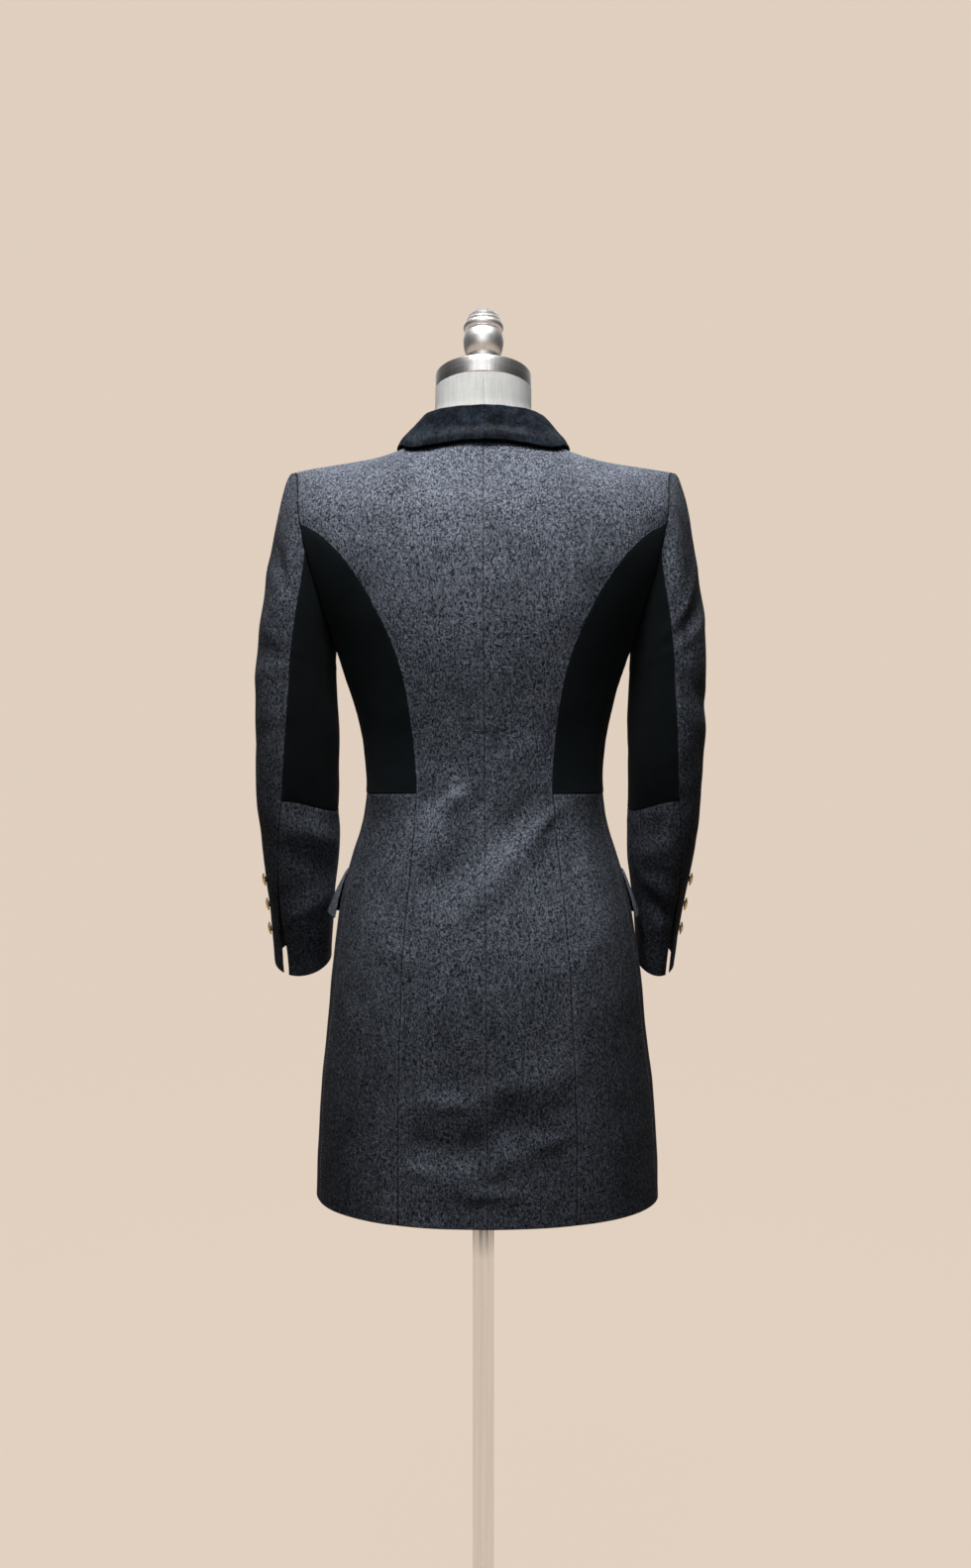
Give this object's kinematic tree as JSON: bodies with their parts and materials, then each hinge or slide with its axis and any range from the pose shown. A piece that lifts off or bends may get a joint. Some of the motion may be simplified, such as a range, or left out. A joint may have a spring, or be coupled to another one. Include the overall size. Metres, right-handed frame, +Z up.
{
  "type": "double-breasted denim jacket on a dress form",
  "caption": "Long fitted double-breasted jacket in washed black denim with dark side panels, on a limbless dress form with a turned finial, pole and round base.",
  "frame": {"origin": "centre of the underside of the stand's round base, on the floor", "axes": "+Z up along the pole, -Y towards the jacket's front, +X towards its wearer's left"},
  "size_m": [0.4786, 0.38, 1.5428],
  "materials": {
    "denim": "washed black denim, mottled with paler threads",
    "black_wool": "plain near-black cloth, matt",
    "collar_cloth": "dark denim, less washed",
    "button_metal": "plain domed metal buttons, gold tone",
    "linen": "pale linen cover",
    "brushed_steel": "brushed steel",
    "chrome": "polished steel tube"
  },
  "bodies": {
    "root": {"back_left": "denim", "side_back_left": "black_wool", "side_front_left": "black_wool", "skirt_back_left": "denim", "skirt_front_left": "denim", "front_left": "denim", "lapel_left": "collar_cloth", "sleeve_upper_left": "denim", "sleeve_under_left": "black_wool", "sleeve_forearm_left": "denim", "flap_left": "denim", "back_right": "denim", "side_back_right": "black_wool", "side_front_right": "black_wool", "skirt_back_right": "denim", "skirt_front_right": "denim", "front_right": "denim", "lapel_right": "collar_cloth", "sleeve_upper_right": "denim", "sleeve_under_right": "black_wool", "sleeve_forearm_right": "denim", "flap_right": "denim", "collar": "collar_cloth", "button_1_left": "button_metal", "button_1_right": "button_metal", "button_2_left": "button_metal", "button_2_right": "button_metal", "button_3_left": "button_metal", "button_3_right": "button_metal", "cuff_button_1_left": "button_metal", "cuff_button_1_right": "button_metal", "cuff_button_2_left": "button_metal", "cuff_button_2_right": "button_metal", "cuff_button_3_left": "button_metal", "cuff_button_3_right": "button_metal", "form_torso": "linen", "neck_cap": "brushed_steel", "finial": "brushed_steel", "pole": "chrome", "base": "brushed_steel"}
  },
  "joints": []
}
